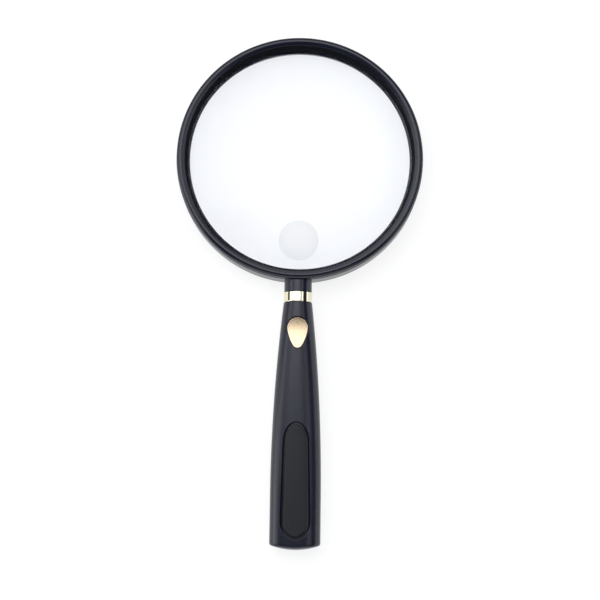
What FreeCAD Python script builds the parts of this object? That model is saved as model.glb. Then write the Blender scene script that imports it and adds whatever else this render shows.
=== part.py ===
import FreeCAD, Part
import math
import os

# Hand magnifying glass: a 90 mm lens in a moulded rim, with a handle that unscrews.
#
# It lies on its back. +Z is the optical axis, +Y points from the handle to the lens, and the origin
# is under the middle of the whole object, on the surface it rests on. All sizes are millimetres.
# Places along the handle are given as distances from the lens centre, and down() turns them into Y.

# --- Overall -------------------------------------------------------------------------------
RIM_RADIUS = 48.3  # outside of the rim
RIM_DEPTH = 13.0  # rim, front to back, and also the handle where it is thickest
HANDLE_END = 151.7  # lens centre to the end of the handle
MID_Z = RIM_DEPTH / 2
LENS_Y = (RIM_RADIUS + HANDLE_END) / 2 - RIM_RADIUS

# --- Optics --------------------------------------------------------------------------------
LENS_RADIUS = 45.0
LENS_EDGE = 1.6
LENS_CURVE = 229.0  # radius of both faces of the main lens
SPOT_RADIUS = 7.75
SPOT_FROM_CENTRE = 32.6
SPOT_EDGE = 0.35  # height of the small lens's edge over the main lens
SPOT_CURVE = 38.0

# --- Rim -----------------------------------------------------------------------------------
BACK_OPENING = 43.1  # the ledge that the lens sits on
FRONT_OPENING = 44.05  # the bezel's bore, just over the lens
FRONT_MOUTH = 44.85  # and at its lip, because the bore tapers
BORE_RADIUS = 45.5  # the gasket's bore in the rim
SEAT_Z = 4.9
REST_OUTER = 46.95  # outer edge of the flat back face
BACK_ROUND = RIM_RADIUS - REST_OUTER
BACK_INNER_ROUND = 0.5
PARTING_Z = 10.45  # rim and bezel meet here
PARTING_CHAMFER = 0.3
SNAP_LOW, SNAP_HIGH = 9.3, 9.9
SNAP_DEPTH = 0.3
BEZEL_RADIUS = 48.15
BEZEL_SHOULDER = 1.5  # radius of the rounded front shoulder
BEZEL_SLOPE = 20.0  # the front falls towards the lens at this angle, in degrees
BEZEL_LIP = 0.3  # rounding of the inner edge
SKIRT_Z = 8.15
FIT_GAP = 0.05  # between parts that push together
GASKET_SETBACK = 0.2  # how far the gasket stands back from the bore
GASKET_GAP = 0.02

# --- Neck, stud and ferrule ----------------------------------------------------------------
NECK_RADIUS = 5.37
NECK_ROOT = 46.3
NECK_END = 52.6
SPIGOT_RADIUS = 4.3
FERRULE_RADIUS = 5.45
FERRULE_BORE = SPIGOT_RADIUS + 0.06
FERRULE_CHAMFER = 0.3
HANDLE_TOP = 56.9
SEAM = 0.12  # fine line between the ferrule and what it stands against
SPIGOT_END = HANDLE_TOP - 0.15
STUD_HEAD_RADIUS = 3.6
STUD_HEAD_FROM, STUD_HEAD_TO = 47.4, 50.4
STUD_KNURLS = 18
THREAD_RADIUS = 2.48
THREAD_ROOT = 2.04
SHANK_RADIUS = 2.2
THREAD_PITCH = 0.8
THREAD_TURNS = 8  # turns that hold the handle on
ROOT_SHARE, CREST_SHARE = 0.88, 0.16  # widths of the thread's ridge, as shares of its pitch
OVERLAP = 0.1  # how far shapes run into each other before they are joined
INSERT_MOUTH = HANDLE_TOP + 1.0
STUD_TIP = INSERT_MOUTH + THREAD_TURNS * THREAD_PITCH
STUD_TIP_CHAMFER = 0.4
INSERT_RADIUS = 3.2
INSERT_WAIST = 2.85
INSERT_BORE = THREAD_RADIUS + 0.07
INSERT_LENGTH = 7.0
INSERT_BAND = 2.5  # length of each knurled band
INSERT_KNURLS = 24
KNURL_DEPTH = 0.22
INSERT_GAP = 0.02

# --- Handle --------------------------------------------------------------------------------
WIDEST_AT = 131.0
HALF_WIDTH = 9.75
HALF_THICKNESS = RIM_DEPTH / 2 - 0.01
TOP_RADIUS = 5.54  # the handle starts round, at this radius
ROUND_POWER = 2.0  # exponent of the section where it is round
SQUARE_POWER = 2.55  # and where it is widest
LOFT_END = 154.0  # the loft runs past the end and is trimmed to a dome
LOFT_STATIONS = 10
SECTION_POINTS = 28
DOME_RADIUS = 27.0
DOME_FROM = 140.0
END_FILLET = 1.2
END_ZONE = 3.5  # the dome's edge is all within this of the end
WALL = 2.5
CAVITY_FROM, CAVITY_TO = 79.0, 148.0
LINE_DEPTH = 0.25  # the fine line where the shells meet
LINE_WIDTH = 0.24
PIN_AT = 76.0
PIN_X = 4.6
PIN_RADIUS = 0.9
PIN_LENGTH = 2.0
PIN_SPARE = 0.2  # depth left under a pin's tip

# --- Screws --------------------------------------------------------------------------------
SCREWS_AT = {"shell_screw_upper": 112.0, "shell_screw_lower": 138.0}
SCREW_RADIUS = 1.1
SCREW_HEAD_RADIUS = 2.1
SCREW_HEAD_HEIGHT = 1.4
SCREW_HEAD_CHAMFER = 0.35
SCREW_TIP_RADIUS = 0.2
SCREW_SPARE = 0.3  # depth left under a screw's tip
CROSS_LENGTH, CROSS_WIDTH, CROSS_DEPTH = 2.4, 0.5, 0.8  # the cross recess in a screw's head
SCREW_SEAT_Z = 2.95
SCREW_TIP_Z = 10.0
BOSS_RADIUS = 3.0
SCREW_CLEARANCE = 1.3
HEAD_CLEARANCE = 2.35
PILOT_RADIUS = SCREW_RADIUS + 0.02

# --- Grip pads and badge -------------------------------------------------------------------
PAD_TOP, PAD_BOTTOM = 103.2, 147.8  # ends of the groove's outline
PAD_TOP_WIDTH, PAD_BOTTOM_WIDTH = 5.0, 5.7  # half widths of the groove's outline
PAD_TOP_ROUND, PAD_BOTTOM_ROUND = 8.6, 6.6  # lengths of its rounded ends
GROOVE_WIDTH = 1.15
PAD_DEPTH = 1.2
PAD_FILM = 0.2
PAD_EDGE_ROUND = 0.4
GROOVE_EDGE_ROUND = 0.25
FILM_SETBACK = 0.2  # how far an adhesive film stands back from its inlay's edge
BADGE_TOP, BADGE_BOTTOM = 63.0, 74.75
BADGE_UPPER_RADIUS = 3.9
BADGE_LOWER_RADIUS = 1.85
BADGE_SIDE_RADIUS = 16.0
BADGE_GAP = 0.45
BADGE_HEIGHT = 4.95  # its face over the handle's middle, where the dish is deepest
BADGE_DISH_AT = 67.7
BADGE_DISH_RADIUS = 50.0  # the face is dished along the handle
BADGE_CROWN_RADIUS = 45.0  # and crowned across it
BADGE_THICKNESS = 0.75
BADGE_FILM = 0.15
BADGE_REACH = 8.0  # half width of the block that shapes the face
COIN_BORDER = 0.6
COIN_DEPTH = 0.16

X_AXIS = FreeCAD.Vector(1, 0, 0)
Z_AXIS = FreeCAD.Vector(0, 0, 1)
DOWN_AXIS = FreeCAD.Vector(0, -1, 0)
BIG = 60.0  # half size of a cutting block
TOUCH = 0.001


def down(distance, x=0.0, z=MID_Z):
    """The point this far from the lens centre, towards the handle's end."""
    return FreeCAD.Vector(x, LENS_Y - distance, z)


def rod(radius, start, end):
    """A cylinder on the handle's axis, between two distances from the lens centre."""
    return Part.makeCylinder(radius, end - start, down(start), DOWN_AXIS)


def disc(radius, low, high):
    """A cylinder on the optical axis, between two heights."""
    return Part.makeCylinder(radius, high - low, FreeCAD.Vector(0, LENS_Y, low), Z_AXIS)


def turned(steps):
    """A ring turned about the optical axis. A step is a point (r, z), or (middle, point) for an arc."""

    def at(point):
        return FreeCAD.Vector(point[0], LENS_Y, point[1])

    here = at(steps[0])
    edges = []
    for step in steps[1:] + steps[:1]:
        curved = isinstance(step[0], tuple)
        target = at(step[1] if curved else step)
        if curved:
            edges.append(Part.Arc(here, at(step[0]), target).toShape())
        else:
            edges.append(Part.LineSegment(here, target).toShape())
        here = target
    face = Part.Face(Part.Wire(edges))
    return face.revolve(FreeCAD.Vector(0, LENS_Y, 0), Z_AXIS, 360)


def on_arc(centre, radius, degrees):
    """The point (r, z) on a circle, with the angle counted from outwards, up towards the front."""
    angle = math.radians(degrees)
    return (centre[0] + radius * math.cos(angle), centre[1] + radius * math.sin(angle))


def knurled(radius, start, end, count):
    """A rod with straight V knurls, on the handle's axis."""
    points = []
    for i in range(2 * count + 1):
        angle = math.pi * i / count
        r = radius - KNURL_DEPTH * (i % 2)
        points.append(down(start, r * math.cos(angle), MID_Z + r * math.sin(angle)))
    return Part.Face(Part.makePolygon(points)).extrude(DOWN_AXIS * (end - start))


def main_lens():
    """Two spheres cut each other to the lens's faces, and a cylinder cuts its edge."""
    sag = LENS_CURVE - math.sqrt(LENS_CURVE**2 - LENS_RADIUS**2)
    offset = LENS_CURVE - LENS_EDGE / 2 - sag
    front = Part.makeSphere(LENS_CURVE, FreeCAD.Vector(0, LENS_Y, MID_Z - offset))
    back = Part.makeSphere(LENS_CURVE, FreeCAD.Vector(0, LENS_Y, MID_Z + offset))
    return disc(LENS_RADIUS, 0, RIM_DEPTH).common(front).common(back)


def spot_lens(lens):
    """The small strong lens, cemented on the front face and square to it."""
    sag = LENS_CURVE - math.sqrt(LENS_CURVE**2 - LENS_RADIUS**2)
    sphere_centre = FreeCAD.Vector(0, LENS_Y, MID_Z + LENS_EDGE / 2 + sag - LENS_CURVE)
    tilt = math.asin(SPOT_FROM_CENTRE / LENS_CURVE)
    normal = FreeCAD.Vector(0, -math.sin(tilt), math.cos(tilt))
    spot_sag = SPOT_CURVE - math.sqrt(SPOT_CURVE**2 - SPOT_RADIUS**2)
    drop = LENS_CURVE - math.sqrt(LENS_CURVE**2 - SPOT_RADIUS**2)
    top = LENS_CURVE - drop + SPOT_EDGE + spot_sag
    blank = Part.makeCylinder(SPOT_RADIUS, 4, sphere_centre + normal * (LENS_CURVE - 2), normal)
    dome = Part.makeSphere(SPOT_CURVE, sphere_centre + normal * (top - SPOT_CURVE))
    return blank.common(dome).cut(lens)


def rim_ring():
    """The rim without its neck: a rest face, an outer wall, and a bore with a seat and a snap groove."""
    back_centre = (REST_OUTER, BACK_ROUND)
    groove_r = BORE_RADIUS + SNAP_DEPTH
    return turned(
        [
            (BACK_OPENING + BACK_INNER_ROUND, 0),
            (REST_OUTER, 0),
            (on_arc(back_centre, BACK_ROUND, -45), (RIM_RADIUS, BACK_ROUND)),
            (RIM_RADIUS, PARTING_Z - PARTING_CHAMFER),
            (RIM_RADIUS - PARTING_CHAMFER, PARTING_Z),
            (BORE_RADIUS, PARTING_Z),
            (BORE_RADIUS, SNAP_HIGH),
            (groove_r, SNAP_HIGH - SNAP_DEPTH / 2),
            (groove_r, SNAP_LOW + SNAP_DEPTH / 2),
            (BORE_RADIUS, SNAP_LOW),
            (BORE_RADIUS, SEAT_Z),
            (BACK_OPENING, SEAT_Z),
            (BACK_OPENING, BACK_INNER_ROUND),
        ]
    )


def rim_body():
    """The rim with its neck and the spigot that the ferrule sits on, moulded round the stud."""
    neck = rod(NECK_RADIUS, NECK_ROOT, NECK_END)
    neck = neck.cut(disc(RIM_RADIUS, PARTING_Z, RIM_DEPTH))
    spigot = rod(SPIGOT_RADIUS, NECK_END, SPIGOT_END)
    return rim_ring().fuse(neck).fuse(spigot).removeSplitter().cut(moulded_in(SPIGOT_END))


def front_bezel():
    """The front ring: a snap skirt that holds the lens, and a rounded shoulder."""
    shoulder = (BEZEL_RADIUS - BEZEL_SHOULDER, RIM_DEPTH - BEZEL_SHOULDER)
    skirt_r = BORE_RADIUS - FIT_GAP
    bead_r = skirt_r + SNAP_DEPTH - FIT_GAP
    under = PARTING_Z + FIT_GAP
    slope = math.radians(BEZEL_SLOPE)
    turn = on_arc(shoulder, BEZEL_SHOULDER, 90 + BEZEL_SLOPE)
    lip_r = FRONT_MOUTH + BEZEL_LIP
    lip_z = turn[1] - (turn[0] - lip_r) * math.tan(slope)
    lip_middle = (FRONT_MOUTH + BEZEL_LIP * 0.3, lip_z - BEZEL_LIP * 0.4)
    return turned(
        [
            (FRONT_OPENING, SKIRT_Z),
            (skirt_r, SKIRT_Z),
            (skirt_r, SNAP_LOW + FIT_GAP),
            (bead_r, SNAP_LOW + SNAP_DEPTH / 2 + FIT_GAP),
            (bead_r, SNAP_HIGH - SNAP_DEPTH / 2 - FIT_GAP),
            (skirt_r, SNAP_HIGH - FIT_GAP),
            (skirt_r, under),
            (BEZEL_RADIUS - PARTING_CHAMFER, under),
            (BEZEL_RADIUS, under + PARTING_CHAMFER),
            (BEZEL_RADIUS, shoulder[1]),
            (on_arc(shoulder, BEZEL_SHOULDER, 55), turn),
            (lip_r, lip_z),
            (lip_middle, (FRONT_MOUTH, lip_z - BEZEL_LIP)),
        ]
    )


def lens_gasket(lens):
    """A soft ring that wraps the lens's edge."""
    inner = FRONT_OPENING + GASKET_SETBACK
    outer = BORE_RADIUS - GASKET_GAP
    low, high = SEAT_Z + GASKET_GAP, SKIRT_Z - GASKET_GAP
    ring = turned([(inner, low), (outer, low), (outer, high), (inner, high)])
    return ring.cut(lens)


def helical_ridge(length):
    """The ridge of the stud's right-hand thread, from one pitch below the origin up +Z."""
    half_root = THREAD_PITCH * ROOT_SHARE / 2
    half_crest = THREAD_PITCH * CREST_SHARE / 2
    buried = THREAD_ROOT - OVERLAP
    helix = Part.makeHelix(THREAD_PITCH, length, THREAD_ROOT)
    helix.translate(Z_AXIS * -THREAD_PITCH)
    corners = [
        FreeCAD.Vector(buried, 0, -half_root - THREAD_PITCH),
        FreeCAD.Vector(THREAD_RADIUS, 0, -half_crest - THREAD_PITCH),
        FreeCAD.Vector(THREAD_RADIUS, 0, half_crest - THREAD_PITCH),
        FreeCAD.Vector(buried, 0, half_root - THREAD_PITCH),
    ]
    outline = Part.makePolygon(corners + corners[:1])
    return Part.Wire(helix).makePipeShell([outline], True, True)


def moulded_in(end):
    """The stud's knurled head and plain shank, which the neck is moulded round."""
    head = knurled(STUD_HEAD_RADIUS, STUD_HEAD_FROM, STUD_HEAD_TO, STUD_KNURLS)
    return head.fuse(rod(SHANK_RADIUS, STUD_HEAD_TO - OVERLAP, end))


def neck_stud():
    """A steel stud: knurled head in the neck, plain shank, and a thread with a tapered tip."""
    length = STUD_TIP - SPIGOT_END
    ridge = helical_ridge(length + 2 * THREAD_PITCH)
    ridge.rotate(FreeCAD.Vector(0, 0, 0), X_AXIS, 90)
    ridge.translate(down(SPIGOT_END))
    thread = rod(THREAD_ROOT, SPIGOT_END - 1, STUD_TIP + 1).fuse(ridge)
    spare = 0.5
    limit = rod(THREAD_RADIUS + spare, SPIGOT_END, STUD_TIP)
    tip_edge = [e for e in limit.Edges if abs(e.CenterOfMass.y - down(STUD_TIP).y) < 0.01]
    limit = limit.makeChamfer(STUD_TIP_CHAMFER + spare, tip_edge)
    return moulded_in(SPIGOT_END + FIT_GAP).fuse(thread.common(limit))


def ferrule():
    """The plated ring between the neck and the handle."""
    ring = rod(FERRULE_RADIUS, NECK_END + SEAM, HANDLE_TOP - SEAM)
    ring = ring.makeChamfer(FERRULE_CHAMFER, [e for e in ring.Edges if e.Closed and e.Length > 1])
    return ring.cut(rod(FERRULE_BORE, NECK_END, HANDLE_TOP))


def threaded_insert():
    """A brass insert in the handle's mouth: two knurled bands, a waist and a bore."""
    end = INSERT_MOUTH + INSERT_LENGTH
    upper = knurled(INSERT_RADIUS, INSERT_MOUTH, INSERT_MOUTH + INSERT_BAND, INSERT_KNURLS)
    waist = rod(INSERT_WAIST, INSERT_MOUTH + INSERT_BAND, end - INSERT_BAND)
    lower = knurled(INSERT_RADIUS, end - INSERT_BAND, end, INSERT_KNURLS)
    return upper.fuse(waist).fuse(lower).cut(rod(INSERT_BORE, INSERT_MOUTH, end))


def insert_pocket():
    """The room that the insert, and the stud's tip past it, take in the handle."""
    end = INSERT_MOUTH + INSERT_LENGTH
    gap = INSERT_GAP
    pocket = rod(INSERT_RADIUS + gap, INSERT_MOUTH, INSERT_MOUTH + INSERT_BAND + gap)
    pocket = pocket.fuse(rod(INSERT_WAIST + gap, INSERT_MOUTH, end))
    pocket = pocket.fuse(rod(INSERT_RADIUS + gap, end - INSERT_BAND - gap, end))
    return pocket.fuse(rod(INSERT_BORE + gap, HANDLE_TOP - 1, end + 1))


def handle_section(distance, inset):
    """The handle's outline at one distance from the lens centre, drawn in by inset."""
    short = max(0.0, WIDEST_AT - distance) / (WIDEST_AT - HANDLE_TOP)
    half_x = HALF_WIDTH - (HALF_WIDTH - TOP_RADIUS) * short**2 - inset
    half_z = HALF_THICKNESS - (HALF_THICKNESS - TOP_RADIUS) * short**2 - inset
    power = 2 / (SQUARE_POWER - (SQUARE_POWER - ROUND_POWER) * short)
    points = []
    for i in range(SECTION_POINTS):
        angle = 2 * math.pi * i / SECTION_POINTS
        c, s = math.cos(angle), math.sin(angle)
        x = math.copysign(half_x * abs(c) ** power, c)
        z = math.copysign(half_z * abs(s) ** power, s)
        points.append(down(distance, x, MID_Z + z))
    curve = Part.BSplineCurve()
    curve.interpolate(Points=points, PeriodicFlag=True)
    return Part.Wire(curve.toShape())


def handle_loft(inset, start=HANDLE_TOP, end=LOFT_END):
    """The handle's solid shape, drawn in by inset all round."""
    step = (end - start) / (LOFT_STATIONS - 1)
    sections = [handle_section(start + i * step, inset) for i in range(LOFT_STATIONS)]
    return Part.makeLoft(sections, True, False)


def handle_outside():
    """The handle's outer shape, with its domed and rounded end."""
    block = Part.makeBox(2 * BIG, BIG, 2 * BIG)
    block.translate(FreeCAD.Vector(-BIG, down(DOME_FROM).y - BIG, -BIG))
    block = block.cut(Part.makeSphere(DOME_RADIUS, down(HANDLE_END - DOME_RADIUS)))
    body = handle_loft(0.0).cut(block)
    end_edges = [e for e in body.Edges if e.BoundBox.YMax < down(HANDLE_END - END_ZONE).y]
    return body.makeFillet(END_FILLET, end_edges)


def pad_outline(shrink):
    """The grip pad's outline at height 0: two half ellipses joined by straight sides."""
    ends = [
        (PAD_TOP + PAD_TOP_ROUND, PAD_TOP_WIDTH - shrink, PAD_TOP_ROUND - shrink, 0),
        (PAD_BOTTOM - PAD_BOTTOM_ROUND, PAD_BOTTOM_WIDTH - shrink, PAD_BOTTOM_ROUND - shrink, 180),
    ]
    edges = []
    for distance, half_width, length, turn in ends:
        half_circle = Part.makeCircle(1, FreeCAD.Vector(), Z_AXIS, turn, turn + 180)
        stretch = FreeCAD.Matrix()
        stretch.scale(half_width, length, 1)
        half_ellipse = half_circle.transformGeometry(stretch)
        half_ellipse.translate(down(distance, 0, 0))
        edges.append(half_ellipse)
    for side in (-1, 1):
        corners = [down(distance, side * half_width, 0) for distance, half_width, _, _ in ends]
        edges.append(Part.LineSegment(*corners).toShape())
    return Part.Wire(Part.__sortEdges__(edges))


def badge_outline(shrink):
    """The badge's teardrop at height 0: a large and a small arc, joined by two long ones."""
    upper_r = BADGE_UPPER_RADIUS - shrink
    lower_r = BADGE_LOWER_RADIUS - shrink
    side_r = BADGE_SIDE_RADIUS - shrink
    upper_at = BADGE_TOP + BADGE_UPPER_RADIUS
    lower_at = BADGE_BOTTOM - BADGE_LOWER_RADIUS
    span = lower_at - upper_at
    to_upper = side_r - upper_r
    to_lower = side_r - lower_r
    along = (span**2 + to_upper**2 - to_lower**2) / (2 * span)
    aside = math.sqrt(to_upper**2 - along**2)

    def on_side(degrees, side):
        """A point on a side arc, with the angle counted from straight across, down the handle."""
        angle = math.radians(degrees)
        x = side * (side_r * math.cos(angle) - aside)
        return down(upper_at + along + side_r * math.sin(angle), x, 0)

    first = math.degrees(math.atan2(-along, aside))
    last = math.degrees(math.atan2(span - along, aside))
    middle = (first + last) / 2
    top = down(upper_at - upper_r, 0, 0)
    bottom = down(lower_at + lower_r, 0, 0)
    arcs = [
        Part.Arc(on_side(first, -1), top, on_side(first, 1)),
        Part.Arc(on_side(first, 1), on_side(middle, 1), on_side(last, 1)),
        Part.Arc(on_side(last, 1), bottom, on_side(last, -1)),
        Part.Arc(on_side(last, -1), on_side(middle, -1), on_side(first, -1)),
    ]
    return Part.Wire([arc.toShape() for arc in arcs])


def column(outline, front):
    """The outline stretched from the middle of the handle past its front or its back."""
    height = RIM_DEPTH if front else -RIM_DEPTH
    face = Part.Face(outline)
    face.translate(Z_AXIS * MID_Z)
    return face.extrude(Z_AXIS * height)


def layer(outline, front, top, bottom):
    """What the outline covers between two depths under the handle's surface."""
    return column(outline, front).common(top).cut(bottom)


def with_soft_edge(shape, outline, front, radius):
    """The shape with its edge along the outline, at the handle's surface, rounded."""
    core = handle_loft(PAD_DEPTH / 2)
    picked = []
    for edge in shape.Edges:
        points = edge.discretize(5)
        flat = [Part.Vertex(FreeCAD.Vector(p.x, p.y, 0)) for p in points]
        right_side = all((p.z > MID_Z) == front for p in points)
        on_outline = right_side and all(outline.distToShape(v)[0] < TOUCH for v in flat)
        if on_outline and not any(core.isInside(p, TOUCH, True) for p in points):
            picked.append(edge)
    return shape.makeFillet(radius, picked)


def saddle(drop):
    """What lies over the badge's face, lowered by drop: a wheel with a hollow tread, lying across."""
    axle_z = MID_Z + BADGE_HEIGHT + BADGE_DISH_RADIUS
    face_z = MID_Z + BADGE_HEIGHT - drop
    fall = BADGE_CROWN_RADIUS - math.sqrt(BADGE_CROWN_RADIUS**2 - BADGE_REACH**2)
    left_up = down(BADGE_DISH_AT, -BADGE_REACH, axle_z)
    right_up = down(BADGE_DISH_AT, BADGE_REACH, axle_z)
    left_low = down(BADGE_DISH_AT, -BADGE_REACH, face_z - fall)
    right_low = down(BADGE_DISH_AT, BADGE_REACH, face_z - fall)
    tread = Part.Arc(left_low, down(BADGE_DISH_AT, 0, face_z), right_low)
    lines = [(left_low, left_up), (left_up, right_up), (right_up, right_low)]
    edges = [Part.LineSegment(*line).toShape() for line in lines] + [tread.toShape()]
    face = Part.Face(Part.Wire(Part.__sortEdges__(edges)))
    return face.revolve(down(BADGE_DISH_AT, 0, axle_z), X_AXIS, 360)


def badge_layer(outline, top_drop, bottom_drop):
    """What the outline covers between two depths under the badge's face."""
    return column(outline, True).common(saddle(bottom_drop)).cut(saddle(top_drop))


def screw_bosses():
    """Two posts across the cavity, which the screws draw together."""
    posts = [
        Part.makeCylinder(BOSS_RADIUS, RIM_DEPTH, down(distance, 0, 0), Z_AXIS)
        for distance in SCREWS_AT.values()
    ]
    return posts[0].fuse(posts[1:])


def shell_halves(outside):
    """The handle's wall and bosses, cut in two at the middle with a fine line round the joint."""
    cavity = handle_loft(WALL, CAVITY_FROM, CAVITY_TO).cut(screw_bosses())
    body = outside.cut(cavity).cut(insert_pocket())
    block = Part.makeBox(2 * BIG, 4 * BIG, BIG)
    block.translate(FreeCAD.Vector(-BIG, -2 * BIG, MID_Z))
    line = Part.makeBox(2 * BIG, 4 * BIG, LINE_WIDTH)
    line.translate(FreeCAD.Vector(-BIG, -2 * BIG, MID_Z - LINE_WIDTH / 2))
    line = line.cut(handle_loft(LINE_DEPTH))
    body = body.cut(line)
    return body.common(block), body.cut(block)


def locating_pins(radius, length):
    """Two short pins that line the shells up, standing back from the joint."""
    pins = [
        Part.makeCylinder(radius, length, down(PIN_AT, x, MID_Z - length), Z_AXIS)
        for x in (-PIN_X, PIN_X)
    ]
    return pins[0].fuse(pins[1])


def shell_screw(distance):
    """A self-tapping screw with a flat head and a cross recess, driven from the back."""
    head_low = SCREW_SEAT_Z - SCREW_HEAD_HEIGHT
    head = Part.makeCylinder(SCREW_HEAD_RADIUS, SCREW_HEAD_HEIGHT, down(distance, 0, head_low), Z_AXIS)
    low_edges = [e for e in head.Edges if e.CenterOfMass.z < head_low + 0.01]
    head = head.makeChamfer(SCREW_HEAD_CHAMFER, low_edges)
    shank_length = SCREW_TIP_Z - SCREW_SEAT_Z - SCREW_RADIUS
    shank = Part.makeCylinder(SCREW_RADIUS, shank_length, down(distance, 0, SCREW_SEAT_Z), Z_AXIS)
    tip_from = down(distance, 0, SCREW_SEAT_Z + shank_length)
    tip = Part.makeCone(SCREW_RADIUS, SCREW_TIP_RADIUS, SCREW_RADIUS, tip_from, Z_AXIS)
    screw = head.fuse(shank).fuse(tip)
    for length, width in ((CROSS_LENGTH, CROSS_WIDTH), (CROSS_WIDTH, CROSS_LENGTH)):
        slot = Part.makeBox(length, width, CROSS_DEPTH)
        slot.translate(down(distance, -length / 2, head_low) - FreeCAD.Vector(0, width / 2, 0))
        screw = screw.cut(slot)
    return screw


def screw_holes():
    """In the back shell: a seat for each head, and a clear hole. In the front shell: a pilot."""
    back, front = [], []
    for distance in SCREWS_AT.values():
        back.append(Part.makeCylinder(HEAD_CLEARANCE, SCREW_SEAT_Z, down(distance, 0, 0), Z_AXIS))
        back.append(Part.makeCylinder(SCREW_CLEARANCE, MID_Z, down(distance, 0, 0), Z_AXIS))
        depth = SCREW_TIP_Z - MID_Z + SCREW_SPARE
        front.append(Part.makeCylinder(PILOT_RADIUS, depth, down(distance), Z_AXIS))
    return back[0].fuse(back[1:]), front[0].fuse(front[1:])


def handle_pieces():
    """Every piece of the handle, by name."""
    outside = handle_outside()
    under_pad = handle_loft(PAD_DEPTH)
    under_film = handle_loft(PAD_DEPTH - PAD_FILM)
    front_shell, back_shell = shell_halves(outside)
    back_holes, front_holes = screw_holes()
    front_shell = front_shell.cut(front_holes).fuse(locating_pins(PIN_RADIUS, PIN_LENGTH))
    pin_holes = locating_pins(PIN_RADIUS + FIT_GAP, PIN_LENGTH + PIN_SPARE)
    back_shell = back_shell.cut(back_holes).cut(pin_holes)
    over = handle_loft(-1.0)
    front_shell = front_shell.cut(layer(pad_outline(0), True, over, under_pad))
    back_shell = back_shell.cut(layer(pad_outline(0), False, over, under_pad))
    front_shell = with_soft_edge(front_shell, pad_outline(0), True, GROOVE_EDGE_ROUND)
    back_shell = with_soft_edge(back_shell, pad_outline(0), False, GROOVE_EDGE_ROUND)

    pocket_depth = BADGE_THICKNESS + BADGE_FILM
    pocket = column(badge_outline(-BADGE_GAP), True).common(saddle(pocket_depth))
    front_shell = front_shell.cut(pocket)
    badge = badge_layer(badge_outline(0), 0, BADGE_THICKNESS)
    badge = badge.cut(column(badge_outline(COIN_BORDER), True).common(saddle(COIN_DEPTH)))
    badge_film = badge_layer(badge_outline(FILM_SETBACK), BADGE_THICKNESS, pocket_depth)

    pieces = {
        "handle_front_shell": front_shell,
        "handle_rear_shell": back_shell,
        "threaded_insert": threaded_insert(),
        "thumb_badge": badge,
        "badge_adhesive": badge_film,
    }
    for name, front in (("front", True), ("rear", False)):
        edge = pad_outline(GROOVE_WIDTH)
        pad = with_soft_edge(layer(edge, front, outside, under_film), edge, front, PAD_EDGE_ROUND)
        pieces[name + "_grip_pad"] = pad
        film = layer(pad_outline(GROOVE_WIDTH + FILM_SETBACK), front, under_film, under_pad)
        pieces[name + "_pad_adhesive"] = film
    for name, distance in SCREWS_AT.items():
        pieces[name] = shell_screw(distance)
    return pieces


def main():
    """Writes every piece to its own STEP file."""
    lens = main_lens()
    pieces = {
        "rim_body": rim_body(),
        "front_bezel": front_bezel(),
        "lens_gasket": lens_gasket(lens),
        "main_lens": lens,
        "spot_lens": spot_lens(lens),
        "neck_stud": neck_stud(),
        "ferrule": ferrule(),
        **handle_pieces(),
    }
    os.makedirs("parts", exist_ok=True)
    for name, shape in pieces.items():
        solids = shape.Solids
        print(f"{name}: {len(solids)} solid, {shape.Volume:.1f} mm3, valid {shape.isValid()}")
        solid = solids[0] if len(solids) == 1 else Part.makeCompound(solids)
        solid.exportStep(f"parts/{name}.step")


main()
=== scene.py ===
# %% [markdown]
# # A hand magnifying glass, finished in Blender
#
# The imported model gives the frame: every piece of the real object is already in its place, in
# metres, with the glass lying on its back, the handle towards -Y and the lens towards +Y. This
# script sets up a small studio, mixes a finish for each material, and models again the round
# pieces that light passes through or runs along: the lenses, their gasket, the front ring and the
# ferrule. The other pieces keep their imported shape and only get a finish.

# %% Load the frame
import math

import bpy
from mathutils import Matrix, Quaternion, Vector


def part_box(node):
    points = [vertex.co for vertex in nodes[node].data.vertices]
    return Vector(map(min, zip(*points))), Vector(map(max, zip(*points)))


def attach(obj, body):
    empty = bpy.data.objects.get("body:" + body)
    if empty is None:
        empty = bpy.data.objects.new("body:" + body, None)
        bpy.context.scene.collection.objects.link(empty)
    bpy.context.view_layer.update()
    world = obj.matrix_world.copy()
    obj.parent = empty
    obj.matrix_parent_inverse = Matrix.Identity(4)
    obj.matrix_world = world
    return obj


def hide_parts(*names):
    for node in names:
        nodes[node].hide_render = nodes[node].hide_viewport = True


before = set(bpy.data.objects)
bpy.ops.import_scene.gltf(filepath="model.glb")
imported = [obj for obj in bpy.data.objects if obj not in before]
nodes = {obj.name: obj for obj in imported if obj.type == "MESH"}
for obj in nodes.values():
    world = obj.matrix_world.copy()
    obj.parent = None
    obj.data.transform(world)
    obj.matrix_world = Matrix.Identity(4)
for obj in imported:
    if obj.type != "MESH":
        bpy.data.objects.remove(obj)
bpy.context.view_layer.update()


# %% [markdown]
# Lengths in this script are written in millimetres, because a maker thinks in them, and turned
# into Blender's metres by one helper. A second helper goes back to object mode with nothing
# selected, because an operator acts on everything that is selected.

# %% Millimetres, and an empty selection
def mm(*values):
    """Millimetres as metres: one number, or a vector of three."""
    scaled = [value / 1000 for value in values]
    return scaled[0] if len(scaled) == 1 else Vector(scaled)


def nothing_selected():
    """Object mode, with nothing selected and nothing active."""
    if bpy.context.mode != "OBJECT":
        bpy.ops.object.mode_set(mode="OBJECT")
    bpy.ops.object.select_all(action="DESELECT")
    bpy.context.view_layer.objects.active = None


def box_mm(name):
    """A piece's lowest and highest corners, in millimetres."""
    low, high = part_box(name)
    return low * 1000, high * 1000


lens_low, lens_high = box_mm("main_lens")
LENS_Y = (lens_low.y + lens_high.y) / 2
MID_Z = (lens_low.z + lens_high.z) / 2
print("lens middle (mm):", round(LENS_Y, 2), round(MID_Z, 2))

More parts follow.
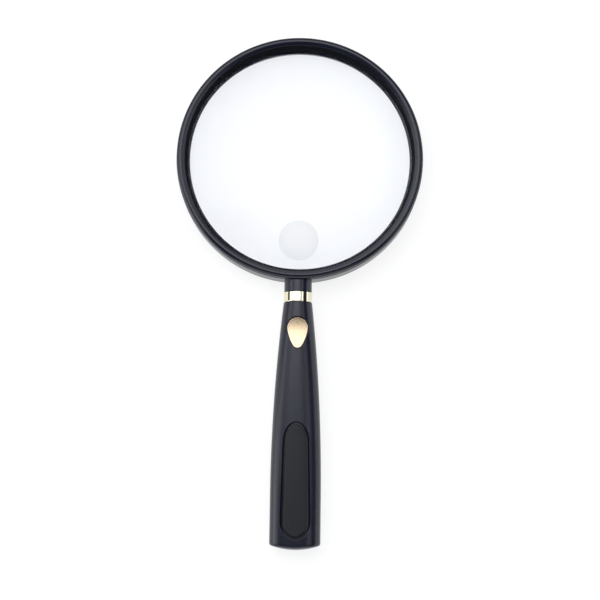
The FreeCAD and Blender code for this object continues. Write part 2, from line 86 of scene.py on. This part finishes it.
# %% [markdown]
# The camera looks down on the glass from the handle's side, a little short of straight above,
# from 0.6 m. A lens of about 92 mm on a 36 mm sensor gives the flat, undistorted look of a
# catalogue view. It is turned by under a degree, so that the handle leans slightly.

# %% Camera
AIM_RIGHT, AIM_BELOW_LENS, AIM_HEIGHT = 0.8, 55.6, 6.5
TARGET = mm(AIM_RIGHT, LENS_Y - AIM_BELOW_LENS, AIM_HEIGHT)
CAMERA_ELEVATION = math.radians(82.2)
CAMERA_DISTANCE = 0.6
CAMERA_ROLL = math.radians(0.75)
CAMERA_LENS, CAMERA_SENSOR = 92.52, 36

away = Vector((0, -math.cos(CAMERA_ELEVATION), math.sin(CAMERA_ELEVATION)))
camera_data = bpy.data.cameras.new("studio_camera")
camera_data.lens = CAMERA_LENS
camera_data.sensor_width = CAMERA_SENSOR
camera = bpy.data.objects.new("studio_camera", camera_data)
camera.location = TARGET + away * CAMERA_DISTANCE
camera.rotation_mode = "QUATERNION"
aim = (-away).to_track_quat("-Z", "Y")
camera.rotation_quaternion = aim @ Quaternion((0, 0, 1), CAMERA_ROLL)
bpy.context.scene.collection.objects.link(camera)
bpy.context.scene.camera = camera
print("camera at", [round(v, 3) for v in camera.location])

# %% [markdown]
# Black plastic shows hardly any colour of its own: what the eye reads as its shape is the soft
# boxes' reflection in it. A broad box over the left and the top gives the wide, soft bands, a
# smaller one in front of it gives their bright middle, and the right has only a narrow strip and
# a low panel, with dark between them, so that the flanks fall away. Panels on the left and in
# front light the walls. Each lamp's power follows from the brightness its face should have.


# %% Soft boxes
def soft_box(name, middle, aim_at, size, brightness, colour=(0.93, 0.95, 1.0)):
    """A rectangular lamp of a given radiance, so that its reflection keeps one brightness."""
    data = bpy.data.lights.new(name, "AREA")
    data.shape = "RECTANGLE"
    data.size, data.size_y = size
    data.energy = brightness * math.pi * size[0] * size[1]
    data.color = colour
    lamp = bpy.data.objects.new(name, data)
    lamp.location = middle
    facing = (Vector(aim_at) - Vector(middle)).normalized()
    lamp.rotation_euler = facing.to_track_quat("-Z", "Y").to_euler()
    lamp.visible_camera = False
    bpy.context.scene.collection.objects.link(lamp)
    return lamp


def overhead(name, left, right, near, far, height, brightness):
    """A level soft box over the table, from its edges' places."""
    middle = ((left + right) / 2, (near + far) / 2, height)
    below = (middle[0], middle[1], 0)
    return soft_box(name, middle, below, (right - left, far - near), brightness)


overhead("broad_box", -1.6, 0.42, 0.06, 1.5, 1.0, 1.6)
overhead("core_box", -0.5, 0.2, 0.05, 0.56, 0.98, 1.5)
overhead("right_strip", 0.56, 0.95, -0.4, 0.9, 1.0, 1.7)
soft_box("left_panel", (-1.75, 0, 0.9), (0, 0, 0), (1.8, 0.5), 2.3)
soft_box("left_low_panel", (-1.2, -0.25, 0.19), (0, -0.25, 0.1), (0.7, 0.36), 3.6)
soft_box("right_panel", (1.6, 0, 0.2), (0, 0, 0.08), (1.8, 0.3), 2.2)
soft_box("front_strip", (0, -1.1, 0.5), (0, 0, 0.05), (1.6, 0.9), 1.4)
print("lamps:", len(bpy.data.lights))

# %% [markdown]
# The room itself is plain. The camera sees it pale, as a backdrop that goes on behind the table,
# while the glass and the plastic see it dark, as a real studio with its lamps off would be.

# %% Room
ROOM_LIGHT, ROOM_REFLECTED, ROOM_SEEN = 0.10, 0.03, 0.93
world = bpy.data.worlds.new("studio_room")
bpy.context.scene.world = world
world.use_nodes = True
room = world.node_tree
path = room.nodes.new("ShaderNodeLightPath")
reflected = room.nodes.new("ShaderNodeMix")
reflected.inputs["A"].default_value = ROOM_LIGHT
reflected.inputs["B"].default_value = ROOM_REFLECTED
seen = room.nodes.new("ShaderNodeMix")
seen.inputs["B"].default_value = ROOM_SEEN
room.links.new(path.outputs["Is Glossy Ray"], reflected.inputs["Factor"])
room.links.new(path.outputs["Is Camera Ray"], seen.inputs["Factor"])
room.links.new(reflected.outputs["Result"], seen.inputs["A"])
room.links.new(seen.outputs["Result"], room.nodes["Background"].inputs["Strength"])
room.nodes["Background"].inputs["Color"].default_value = (0.97, 0.98, 1.0, 1)
bpy.context.scene.view_settings.view_transform = "Standard"

# %% [markdown]
# The table is a matt white sheet lit from below as well as from above, as product tables of
# translucent acrylic are, so that shadows almost vanish. It isn't part of the object.

# %% Table
TABLE_WHITE, TABLE_GLOW = 0.28, 0.80
TABLE_SIDE = 6
TABLE_BELOW = 0.02
nothing_selected()
bpy.ops.mesh.primitive_plane_add(size=TABLE_SIDE, location=(0, 0, -mm(TABLE_BELOW)))
table = bpy.context.object
table.name = "table"
paint = bpy.data.materials.new("table_sheet")
paint.use_nodes = True
sheet_shader = paint.node_tree.nodes["Principled BSDF"]
sheet_shader.inputs["Base Color"].default_value = (TABLE_WHITE, TABLE_WHITE, TABLE_WHITE, 1)
sheet_shader.inputs["Roughness"].default_value = 0.9
sheet_shader.inputs["Specular IOR Level"].default_value = 0.2
sheet_shader.inputs["Emission Color"].default_value = (1, 1, 1, 1)
sheet_shader.inputs["Emission Strength"].default_value = TABLE_GLOW
table.data.materials.append(paint)


# %% [markdown]
# Surface effects are shader node groups: each is built once, has named inputs, and gives numbers
# that vary over the surface. The materials below place them with their own values. Sizes go in as
# millimetres, and the pattern sits on the object's own coordinates, so it never slides.


# %% Tools for making node groups
def new_group(name, inputs, outputs):
    """An empty group with number sockets. Returns its tree, its inlet and its outlet."""
    group = bpy.data.node_groups.new(name, "ShaderNodeTree")
    for label, value in inputs.items():
        socket = group.interface.new_socket(name=label, in_out="INPUT", socket_type="NodeSocketFloat")
        socket.default_value = value
    for label in outputs:
        group.interface.new_socket(name=label, in_out="OUTPUT", socket_type="NodeSocketFloat")
    return group, group.nodes.new("NodeGroupInput"), group.nodes.new("NodeGroupOutput")


def math_node(tree, operation, first, second):
    """One sum. Each side is a number or another node's output."""
    node = tree.nodes.new("ShaderNodeMath")
    node.operation = operation
    for socket, value in zip(node.inputs, (first, second)):
        if isinstance(value, (int, float)):
            socket.default_value = value
        else:
            tree.links.new(value, socket)
    return node.outputs[0]


def noise(tree, place, size_mm, detail=2.0):
    """Cloudy noise about 0.5, with bumps of about size_mm. The size is a number or an output."""
    node = tree.nodes.new("ShaderNodeTexNoise")
    node.inputs["Detail"].default_value = detail
    tree.links.new(place, node.inputs["Vector"])
    tree.links.new(math_node(tree, "DIVIDE", 1000.0, size_mm), node.inputs["Scale"])
    return node.outputs["Fac"]


def on_object(tree):
    """The object's own coordinates, in metres."""
    return tree.nodes.new("ShaderNodeTexCoord").outputs["Object"]


# %% [markdown]
# Moulded skin is what a spark-eroded mould leaves on black plastic: a very fine even grain, and
# over it large, faint patches where the gloss is a little higher or lower, from the melt's flow
# and from fingers. The grain goes to a Bump node and the patches to the roughness and the shade.

# %% Group: moulded skin
skin, inlet, outlet = new_group(
    "moulded_skin",
    {"Grain mm": 0.12, "Patch mm": 14.0, "Gloss": 0.3, "Gloss change": 0.1},
    ("Height", "Roughness", "Shade"),
)
place = on_object(skin)
fine = noise(skin, place, inlet.outputs["Grain mm"], 3.0)
patches = noise(skin, place, inlet.outputs["Patch mm"], 4.0)
skin.links.new(fine, outlet.inputs["Height"])
spread = math_node(skin, "SUBTRACT", patches, 0.5)
swing = math_node(skin, "MULTIPLY", spread, inlet.outputs["Gloss change"])
skin.links.new(math_node(skin, "ADD", swing, inlet.outputs["Gloss"]), outlet.inputs["Roughness"])
mottle = math_node(skin, "ADD", math_node(skin, "MULTIPLY", fine, 0.3), patches)
skin.links.new(math_node(skin, "SUBTRACT", mottle, 0.15), outlet.inputs["Shade"])

# %% [markdown]
# Turned lines are what a lathe and a polishing wheel leave on a metal ring: fine lines round its
# axis, which is the handle's. Noise that is stretched along the other two axes gives them. Metal
# pieces that were rolled, tapped or knurled use the same group with coarser lines.

# %% Group: turned lines
turning, inlet, outlet = new_group(
    "turned_lines",
    {"Line mm": 0.08, "Gloss": 0.1, "Gloss change": 0.08},
    ("Height", "Roughness", "Shade"),
)
squeeze = turning.nodes.new("ShaderNodeMapping")
squeeze.inputs["Scale"].default_value = (0.02, 1.0, 0.02)
turning.links.new(on_object(turning), squeeze.inputs["Vector"])
lines = noise(turning, squeeze.outputs["Vector"], inlet.outputs["Line mm"], 4.0)
blotches = noise(turning, on_object(turning), 3.0, 3.0)
turning.links.new(lines, outlet.inputs["Height"])
both = math_node(turning, "ADD", lines, blotches)
spread = math_node(turning, "SUBTRACT", both, 1.0)
swing = math_node(turning, "MULTIPLY", spread, inlet.outputs["Gloss change"])
turning.links.new(math_node(turning, "ADD", swing, inlet.outputs["Gloss"]), outlet.inputs["Roughness"])
turning.links.new(math_node(turning, "MULTIPLY", both, 0.5), outlet.inputs["Shade"])

# %% [markdown]
# Pebbled rubber has small rounded cells, from the mould, with a dusty, uneven bloom on top. A
# smooth Voronoi pattern gives the cells and noise gives the bloom.

# %% Group: pebbled rubber
pebbles, inlet, outlet = new_group(
    "pebbled_rubber",
    {"Pebble mm": 0.3, "Bloom mm": 6.0, "Gloss": 0.55, "Gloss change": 0.15},
    ("Height", "Roughness", "Shade"),
)
place = on_object(pebbles)
cells = pebbles.nodes.new("ShaderNodeTexVoronoi")
cells.feature = "SMOOTH_F1"
pebbles.links.new(place, cells.inputs["Vector"])
pebbles.links.new(math_node(pebbles, "DIVIDE", 1000.0, inlet.outputs["Pebble mm"]), cells.inputs["Scale"])
pebbles.links.new(math_node(pebbles, "SUBTRACT", 1.0, cells.outputs["Distance"]), outlet.inputs["Height"])
bloom = noise(pebbles, place, inlet.outputs["Bloom mm"], 5.0)
spread = math_node(pebbles, "SUBTRACT", bloom, 0.5)
swing = math_node(pebbles, "MULTIPLY", spread, inlet.outputs["Gloss change"])
pebbles.links.new(math_node(pebbles, "ADD", swing, inlet.outputs["Gloss"]), outlet.inputs["Roughness"])
pebbles.links.new(bloom, outlet.inputs["Shade"])


# %% [markdown]
# A finish is a Principled shader fed by one of the groups: its shade picks a colour between two
# close ones, its roughness goes straight in, and its height passes through a Bump node whose
# distance is the real depth of the texture. Numbers that don't vary are set on the shader itself.


# %% Making a finish
def finish_for(name, group, dark, light, depth_mm, settings=(), shader_settings=()):
    """A material from one group, two close colours and the depth of its texture."""
    made = bpy.data.materials.new(name)
    made.use_nodes = True
    tree = made.node_tree
    shader = tree.nodes["Principled BSDF"]
    effect = tree.nodes.new("ShaderNodeGroup")
    effect.node_tree = group
    for label, value in dict(settings).items():
        effect.inputs[label].default_value = value
    blend = tree.nodes.new("ShaderNodeMix")
    blend.data_type = "RGBA"
    blend.inputs["A"].default_value = (*dark, 1)
    blend.inputs["B"].default_value = (*light, 1)
    tree.links.new(effect.outputs["Shade"], blend.inputs["Factor"])
    tree.links.new(blend.outputs["Result"], shader.inputs["Base Color"])
    tree.links.new(effect.outputs["Roughness"], shader.inputs["Roughness"])
    relief = tree.nodes.new("ShaderNodeBump")
    relief.inputs["Distance"].default_value = mm(depth_mm)
    tree.links.new(effect.outputs["Height"], relief.inputs["Height"])
    tree.links.new(relief.outputs["Normal"], shader.inputs["Normal"])
    for label, value in dict(shader_settings).items():
        shader.inputs[label].default_value = value
    print("finish:", name)
    return made


# %% [markdown]
# The rim and the handle are one black plastic, very slightly blue, with a satin skin. The rim is
# a touch glossier, because its round tool could be polished. The pads are a softer black rubber.

# %% Plastic and rubber
INK, SLATE = (0.0023, 0.0033, 0.0115), (0.0046, 0.0064, 0.0190)
RIM_BLACK = finish_for(
    "rim_black", skin, INK, SLATE, 0.0006, {"Gloss": 0.27, "Gloss change": 0.06, "Patch mm": 18.0}
)
HANDLE_BLACK = finish_for(
    "handle_black", skin, INK, SLATE, 0.0016, {"Gloss": 0.31, "Gloss change": 0.08}
)
BORE_BLACK = finish_for(
    "bore_black", skin, (0.0040, 0.0044, 0.0064), (0.0070, 0.0076, 0.0104), 0.003,
    {"Gloss": 0.8}, {"Specular IOR Level": 0.05},
)
PAD_RUBBER = finish_for(
    "pad_rubber", pebbles, (0.0040, 0.0044, 0.0075), (0.0080, 0.0086, 0.0125), 0.006,
    {"Gloss": 0.48, "Pebble mm": 0.22}, {"Specular IOR Level": 0.42},
)
GASKET_RUBBER = finish_for(
    "gasket_rubber", pebbles, (0.006, 0.006, 0.006), (0.012, 0.012, 0.012), 0.01,
    {"Gloss": 0.7, "Pebble mm": 0.5},
)

# %% [markdown]
# The ferrule is plated in a pale gold and polished on a wheel, so it keeps a trace of lines round
# it. The badge is coined and satin plated in a warmer gold. The stud and the screws are steel
# with a zinc finish, and the insert is machined brass.

# %% Metals
METAL = {"Metallic": 1.0}
FERRULE_GOLD = finish_for(
    "ferrule_gold", turning, (0.76, 0.72, 0.50), (0.84, 0.81, 0.61), 0.0001,
    {"Gloss": 0.07, "Gloss change": 0.05}, METAL,
)
BADGE_GOLD = finish_for(
    "badge_gold", skin, (0.57, 0.43, 0.265), (0.67, 0.52, 0.36), 0.0015,
    {"Grain mm": 0.16, "Patch mm": 3.0, "Gloss": 0.27, "Gloss change": 0.12}, METAL,
)
STEEL = finish_for(
    "zinc_steel", turning, (0.42, 0.43, 0.45), (0.60, 0.61, 0.62), 0.002,
    {"Line mm": 0.15, "Gloss": 0.3, "Gloss change": 0.2}, METAL,
)
BRASS = finish_for(
    "machined_brass", turning, (0.60, 0.42, 0.18), (0.78, 0.60, 0.30), 0.003,
    {"Line mm": 0.12, "Gloss": 0.25, "Gloss change": 0.15}, METAL,
)
FILM = finish_for(
    "adhesive_film", skin, (0.09, 0.085, 0.08), (0.14, 0.135, 0.12), 0.004,
    {"Grain mm": 0.3, "Gloss": 0.5, "Gloss change": 0.2},
)

# %% [markdown]
# Optical glass is clear where it is polished, and its rim is left ground, which scatters light
# and looks pale. One shader does both: a mask that grows past the polished radius lifts the
# roughness. A second, softer mask paints shade into the glass's colour, a little darker and bluer
# towards the border, standing in for the room's shade seen through the glass near its edge. The
# polished faces are coated, which turns their own reflection down, and the specular tint does
# that. Shadow rays pass straight through, because a soft box's light does so in a thin lens, and
# Cycles would otherwise make its shadow too dark.


# %% Glass
GLASS_IOR = 1.52
GROUND_ROUGHNESS, GROUND_BAND = 0.35, 0.1
GROUND_TINT = (0.80, 0.90, 0.86, 1)
SHADOW_TINT = (0.94, 0.95, 0.96, 1)
# Where the painted shade at the glass's border begins, as a share of the polished radius.
PAINTED_SHADE_FROM = 0.45


def lens_glass(name, middle_tint, painted_shade_tint, axis_at, polished_mm, shine):
    """Clear glass with a ground edge, outside a radius about an upright axis."""
    made = bpy.data.materials.new(name)
    made.use_nodes = True
    tree = made.node_tree
    shader = tree.nodes["Principled BSDF"]
    shader.inputs["Transmission Weight"].default_value = 1.0
    shader.inputs["IOR"].default_value = GLASS_IOR
    shader.inputs["Specular Tint"].default_value = (shine, shine, shine, 1)
    centred = tree.nodes.new("ShaderNodeMapping")
    centred.inputs["Location"].default_value = -axis_at
    centred.inputs["Scale"].default_value = (1, 1, 0)
    tree.links.new(on_object(tree), centred.inputs["Vector"])
    radius = tree.nodes.new("ShaderNodeVectorMath")
    radius.operation = "LENGTH"
    tree.links.new(centred.outputs["Vector"], radius.inputs[0])
    ground = tree.nodes.new("ShaderNodeMapRange")
    ground.inputs["From Min"].default_value = mm(polished_mm)
    ground.inputs["From Max"].default_value = mm(polished_mm + GROUND_BAND)
    ground.inputs["To Max"].default_value = GROUND_ROUGHNESS
    tree.links.new(radius.outputs["Value"], ground.inputs["Value"])
    tree.links.new(ground.outputs["Result"], shader.inputs["Roughness"])
    # Painted shade: the glass's colour turns darker and bluer from under half the polished radius out to
    # its border.
    border = tree.nodes.new("ShaderNodeMapRange")
    border.interpolation_type = "SMOOTHSTEP"
    border.inputs["From Min"].default_value = mm(polished_mm * PAINTED_SHADE_FROM)
    border.inputs["From Max"].default_value = mm(polished_mm)
    tree.links.new(radius.outputs["Value"], border.inputs["Value"])
    tint_with_painted_shade = tree.nodes.new("ShaderNodeMix")
    tint_with_painted_shade.data_type = "RGBA"
    tint_with_painted_shade.inputs["A"].default_value = (*middle_tint, 1)
    tint_with_painted_shade.inputs["B"].default_value = (*painted_shade_tint, 1)
    tree.links.new(border.outputs["Result"], tint_with_painted_shade.inputs["Factor"])
    blend = tree.nodes.new("ShaderNodeMix")
    blend.data_type = "RGBA"
    tree.links.new(tint_with_painted_shade.outputs["Result"], blend.inputs["A"])
    blend.inputs["B"].default_value = GROUND_TINT
    tree.links.new(ground.outputs["Result"], blend.inputs["Factor"])
    tree.links.new(blend.outputs["Result"], shader.inputs["Base Color"])
    clear = tree.nodes.new("ShaderNodeBsdfTransparent")
    clear.inputs["Color"].default_value = SHADOW_TINT
    light_path = tree.nodes.new("ShaderNodeLightPath")
    mix = tree.nodes.new("ShaderNodeMixShader")
    tree.links.new(light_path.outputs["Is Shadow Ray"], mix.inputs[0])
    tree.links.new(shader.outputs[0], mix.inputs[1])
    tree.links.new(clear.outputs[0], mix.inputs[2])
    tree.links.new(mix.outputs[0], tree.nodes["Material Output"].inputs["Surface"])
    return made


spot_low, spot_high = box_mm("spot_lens")
SPOT_Y = (spot_low.y + spot_high.y) / 2
# Each glass's second colour is painted shade at its border, not a colour of the glass itself.
MAIN_GLASS = lens_glass(
    "main_glass", (0.925, 0.930, 0.945), (0.895, 0.908, 0.935), mm(0, LENS_Y, 0), 44.8, 0.15
)
SPOT_GLASS = lens_glass(
    "spot_glass", (0.935, 0.935, 0.935), (0.895, 0.90, 0.90), mm(0, SPOT_Y, 0), 7.62, 0.05
)

# %% [markdown]
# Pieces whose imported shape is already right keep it, and only get their finish.

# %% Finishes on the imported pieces
KEPT = {
    "rim_body": RIM_BLACK,
    "handle_front_shell": HANDLE_BLACK,
    "handle_rear_shell": HANDLE_BLACK,
    "neck_stud": STEEL,
    "threaded_insert": BRASS,
    "shell_screw_upper": STEEL,
    "shell_screw_lower": STEEL,
    "thumb_badge": BADGE_GOLD,
    "front_grip_pad": PAD_RUBBER,
    "rear_grip_pad": PAD_RUBBER,
    "badge_adhesive": FILM,
    "front_pad_adhesive": FILM,
    "rear_pad_adhesive": FILM,
}
for name, finish in KEPT.items():
    for slot in nodes[name].material_slots:
        slot.material = finish
print("kept pieces:", len(KEPT))


# %% [markdown]
# Most pieces here are round, so they are turned as on a lathe. A plane is merged to a single
# point, the point is extruded along the profile, and the profile is spun about the axis. Merging
# doubles closes the seam and the poles, and then the normals are made to face outwards.


# %% Drawing a line and turning it
def drawn_line(name, points):
    """A chain of edges through points given in millimetres. Leaves it in edit mode."""
    nothing_selected()
    bpy.ops.mesh.primitive_plane_add(size=mm(1), location=mm(*points[0]))
    piece = bpy.context.object
    piece.name = name
    piece.data.name = name
    bpy.ops.object.mode_set(mode="EDIT")
    bpy.ops.mesh.select_mode(type="VERT")
    bpy.ops.mesh.merge(type="CENTER")
    for here, there in zip(points, points[1:]):
        step = mm(*there) - mm(*here)
        bpy.ops.mesh.extrude_region_move(TRANSFORM_OT_translate={"value": step})
    return piece


def close_up():
    """Merges doubles and turns the faces outwards, in edit mode."""
    bpy.ops.mesh.select_all(action="SELECT")
    bpy.ops.mesh.remove_doubles(threshold=mm(0.002))
    bpy.ops.mesh.normals_make_consistent(inside=False)


def settle(piece, smooth_degrees=30):
    """Back to object mode, with the piece's place put into its mesh and its faces smoothed."""
    bpy.ops.object.mode_set(mode="OBJECT")
    bpy.ops.object.transform_apply(location=True, rotation=True, scale=True)
    bpy.ops.object.shade_smooth_by_angle(angle=math.radians(smooth_degrees))
    print(piece.name, "faces:", len(piece.data.polygons))


def turned(name, profile, centre, axis, steps):
    """A closed or pole-to-pole profile, spun once about an axis. Stays in edit mode."""
    piece = drawn_line(name, profile)
    bpy.ops.mesh.select_all(action="SELECT")
    bpy.ops.mesh.spin(steps=steps, angle=2 * math.pi, center=mm(*centre), axis=axis)
    close_up()
    return piece


def places_mm(piece):
    """Where a piece's vertices are, in millimetres."""
    return [piece.matrix_world @ v.co * 1000 for v in piece.data.vertices]


KINDS = ("VERT", "EDGE", "FACE")


def clear_selection(piece):
    """Object mode, with no vertex, edge or face of the piece selected."""
    bpy.ops.object.mode_set(mode="OBJECT")
    for part in (piece.data.vertices, piece.data.edges, piece.data.polygons):
        part.foreach_set("select", [False] * len(part))


def edit_by(kind):
    """Edit mode, selecting by the kind of part that is named."""
    bpy.context.tool_settings.mesh_select_mode = [kind == each for each in KINDS]
    bpy.ops.object.mode_set(mode="EDIT")


def select_edges(piece, wanted):
    """Selects the edges whose two ends pass a test on their places. Ends in edit mode."""
    clear_selection(piece)
    spots = places_mm(piece)
    for edge in piece.data.edges:
        edge.select = wanted(spots[edge.vertices[0]], spots[edge.vertices[1]])
    edit_by("EDGE")


def select_faces(piece, wanted):
    """Selects the faces whose middle passes a test on its place. Ends in edit mode."""
    clear_selection(piece)
    for face in piece.data.polygons:
        face.select = wanted(piece.matrix_world @ face.center * 1000)
    edit_by("FACE")


def stands_for(piece, node, body, finish=None):
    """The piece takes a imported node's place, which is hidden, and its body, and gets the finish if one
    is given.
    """
    if finish:
        piece.data.materials.append(finish)
    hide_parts(node)
    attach(piece, body)


# %% [markdown]
# The front ring snaps into the rim and holds the lens. Its profile starts at the skirt, has the
# little snap bead, a rounded shoulder and a shallow slope towards the glass. The bore tapers, as
# a moulded bore must, so that the ring leaves its tool. Arcs are drawn as short straight runs.


# %% Front ring
def arc_points(centre, radius, start, end, count):
    """Points (r, z) on an arc, with angles in degrees counted from outwards up to the front."""
    angles = [math.radians(start + (end - start) * i / (count - 1)) for i in range(count)]
    return [(centre[0] + radius * math.cos(a), centre[1] + radius * math.sin(a)) for a in angles]


def beside_lens(profile):
    """A profile of (r, z) points stood up beside the lens's axis."""
    return [(r, LENS_Y, z) for r, z in profile]


bezel_low, bezel_high = box_mm("front_bezel")
BEZEL_RADIUS = (bezel_high.x - bezel_low.x) / 2
FRONT_Z = bezel_high.z
SKIRT_Z, SKIRT_RADIUS, SKIRT_DEPTH = bezel_low.z, 45.45, 2.3
PARTING_Z = SKIRT_Z + SKIRT_DEPTH
BEAD_RADIUS, BEAD_LOW, BEAD_HIGH, BEAD_RAMP = 45.7, 9.5, 9.7, 0.15
SHOULDER = 1.5
BORE, MOUTH, LIP, SLOPE = 44.05, 44.85, 0.3, 20
PARTING_GAP, EDGE_ROUND = 0.05, 0.3
shoulder_middle = (BEZEL_RADIUS - SHOULDER, FRONT_Z - SHOULDER)
shoulder = arc_points(shoulder_middle, SHOULDER, 0, 90 + SLOPE, 12)
lip_z = shoulder[-1][1] - (shoulder[-1][0] - MOUTH - LIP) * math.tan(math.radians(SLOPE))
lip = arc_points((MOUTH + LIP, lip_z - LIP), LIP, 90 + SLOPE, 180, 5)
under_z = PARTING_Z + PARTING_GAP
bezel_profile = [
    (BORE, SKIRT_Z), (SKIRT_RADIUS, SKIRT_Z), (SKIRT_RADIUS, BEAD_LOW - BEAD_RAMP),
    (BEAD_RADIUS, BEAD_LOW), (BEAD_RADIUS, BEAD_HIGH), (SKIRT_RADIUS, BEAD_HIGH + BEAD_RAMP),
    (SKIRT_RADIUS, under_z), (BEZEL_RADIUS - EDGE_ROUND, under_z),
    (BEZEL_RADIUS - 0.3 * EDGE_ROUND, under_z + 0.3 * EDGE_ROUND),
    (BEZEL_RADIUS, under_z + EDGE_ROUND),
    *shoulder, *lip, (BORE, SKIRT_Z),
]
front_ring = turned("front_ring", beside_lens(bezel_profile), (0, LENS_Y, 0), (0, 0, 1), 240)
select_faces(front_ring, lambda middle: math.hypot(middle.x, middle.y - LENS_Y) < MOUTH + 0.05)
front_ring.data.materials.append(RIM_BLACK)
front_ring.data.materials.append(BORE_BLACK)
front_ring.active_material_index = 1
bpy.ops.object.material_slot_assign()
settle(front_ring, 35)
stands_for(front_ring, "front_bezel", "lens_head")

# %% [markdown]
# The gasket is a soft channel round the lens's edge, so that the glass never touches hard
# plastic. It is turned in the same way, with a V where the edge sits.

# %% Gasket
GASKET_IN, GASKET_OUT, GASKET_FLOOR = 44.26, 45.47, 45.03
CHAMFER = 0.1
MOUTH_HALF, FLOOR_HALF = 0.98, 0.83
gasket_low, gasket_high = box_mm("lens_gasket")
gasket_profile = [
    (GASKET_IN, gasket_low.z + CHAMFER), (GASKET_IN + CHAMFER, gasket_low.z),
    (GASKET_OUT, gasket_low.z), (GASKET_OUT, gasket_high.z),
    (GASKET_IN + CHAMFER, gasket_high.z), (GASKET_IN, gasket_high.z - CHAMFER),
    (GASKET_IN, MID_Z + MOUTH_HALF), (GASKET_FLOOR, MID_Z + FLOOR_HALF),
    (GASKET_FLOOR, MID_Z - FLOOR_HALF), (GASKET_IN, MID_Z - MOUTH_HALF),
    (GASKET_IN, gasket_low.z + CHAMFER),
]
gasket = turned("lens_channel", beside_lens(gasket_profile), (0, LENS_Y, 0), (0, 0, 1), 160)
settle(gasket, 40)
stands_for(gasket, "lens_gasket", "lens_head", GASKET_RUBBER)

# %% [markdown]
# The main lens is biconvex: both faces are parts of a large sphere. A lens is only as good as its
# curve, because facets would bend the light in steps, so its profile has many short runs and the
# spin many steps. The profile goes from the front pole to the ground edge and to the back pole.

# %% Main lens
LENS_RADIUS, LENS_CURVE, LENS_EDGE = 45.0, 229.0, 1.6
RUNS = 44
sag = LENS_CURVE - math.sqrt(LENS_CURVE**2 - LENS_RADIUS**2)


def face_height(r):
    """How far a face of the main lens stands over the lens's middle plane at radius r."""
    return LENS_EDGE / 2 + sag - LENS_CURVE + math.sqrt(LENS_CURVE**2 - r**2)


radii = [LENS_RADIUS * i / RUNS for i in range(RUNS + 1)]
lens_profile = [(r, MID_Z + face_height(r)) for r in radii]
lens_profile += [(r, MID_Z - face_height(r)) for r in reversed(radii)]
main_glass = turned("lens_main", beside_lens(lens_profile), (0, LENS_Y, 0), (0, 0, 1), 200)
settle(main_glass)
stands_for(main_glass, "main_lens", "lens_head", MAIN_GLASS)

# %% [markdown]
# The spot lens is a small strong lens cemented on the front face near the handle. Its back is
# hollow to fit the main lens, and its axis is square to the face there, so it leans. It stands
# 0.015 mm off the face, the thickness of the cement, because two glass faces in one place would
# confuse the light.

# %% Spot lens
SPOT_RADIUS, SPOT_CURVE, SPOT_EDGE, SPOT_OUT = 7.75, 38.0, 0.35, 32.6
CEMENT = 0.015
SPOT_RUNS = 24
lean = math.asin(SPOT_OUT / LENS_CURVE)
spot_axis = Vector((0, -math.sin(lean), math.cos(lean)))
sphere_middle = Vector((0, LENS_Y, MID_Z + LENS_EDGE / 2 + sag - LENS_CURVE))
spot_sag = SPOT_CURVE - math.sqrt(SPOT_CURVE**2 - SPOT_RADIUS**2)
spot_top = math.sqrt(LENS_CURVE**2 - SPOT_RADIUS**2) + SPOT_EDGE + spot_sag


def on_spot(r, height):
    """A point at radius r from the small lens's axis and height from the large sphere's middle."""
    return tuple(sphere_middle + spot_axis * height + Vector((r, 0, 0)))


radii = [SPOT_RADIUS * i / SPOT_RUNS for i in range(SPOT_RUNS + 1)]
spot_profile = [on_spot(r, spot_top - SPOT_CURVE + math.sqrt(SPOT_CURVE**2 - r**2)) for r in radii]
spot_profile += [on_spot(r, math.sqrt(LENS_CURVE**2 - r**2) + CEMENT) for r in reversed(radii)]
spot_glass = turned("lens_spot", spot_profile, on_spot(0, 0), spot_axis, 96)
settle(spot_glass)
stands_for(spot_glass, "spot_lens", "lens_head", SPOT_GLASS)

# %% [markdown]
# The ferrule is a short tube. Its profile is a plain rectangle, turned about the handle's axis,
# and then its two outer ring edges are selected by their place and bevelled, as a polisher rounds
# them. Rounded edges are what catches a thin line of light at each end. The profile has a point
# just inside each rounding, so that smooth shading bends only there and the wall stays straight.


# %% Ferrule
ferrule_low, ferrule_high = box_mm("ferrule")
FERRULE_RADIUS = (ferrule_high.x - ferrule_low.x) / 2
FERRULE_BORE = 4.36
EDGE_BEVEL, SUPPORT = 0.28, 0.34
rectangle = [
    (FERRULE_BORE, ferrule_high.y, MID_Z), (FERRULE_RADIUS, ferrule_high.y, MID_Z),
    (FERRULE_RADIUS, ferrule_high.y - SUPPORT, MID_Z),
    (FERRULE_RADIUS, ferrule_low.y + SUPPORT, MID_Z),
    (FERRULE_RADIUS, ferrule_low.y, MID_Z), (FERRULE_BORE, ferrule_low.y, MID_Z),
    (FERRULE_BORE, ferrule_high.y, MID_Z),
]
ferrule = turned("ferrule_ring_gold", rectangle, (0, 0, MID_Z), (0, 1, 0), 128)
select_edges(
    ferrule,
    lambda a, b: abs(a.y - b.y) < 0.001
    and (a.y > ferrule_high.y - 0.1 or a.y < ferrule_low.y + 0.1)
    and min(math.hypot(a.x, a.z - MID_Z), math.hypot(b.x, b.z - MID_Z)) > FERRULE_RADIUS - 0.1,
)
bpy.ops.mesh.bevel(offset=mm(EDGE_BEVEL), segments=4, affect="EDGES")
close_up()
settle(ferrule, 35)
stands_for(ferrule, "ferrule", "ferrule_ring", FERRULE_GOLD)
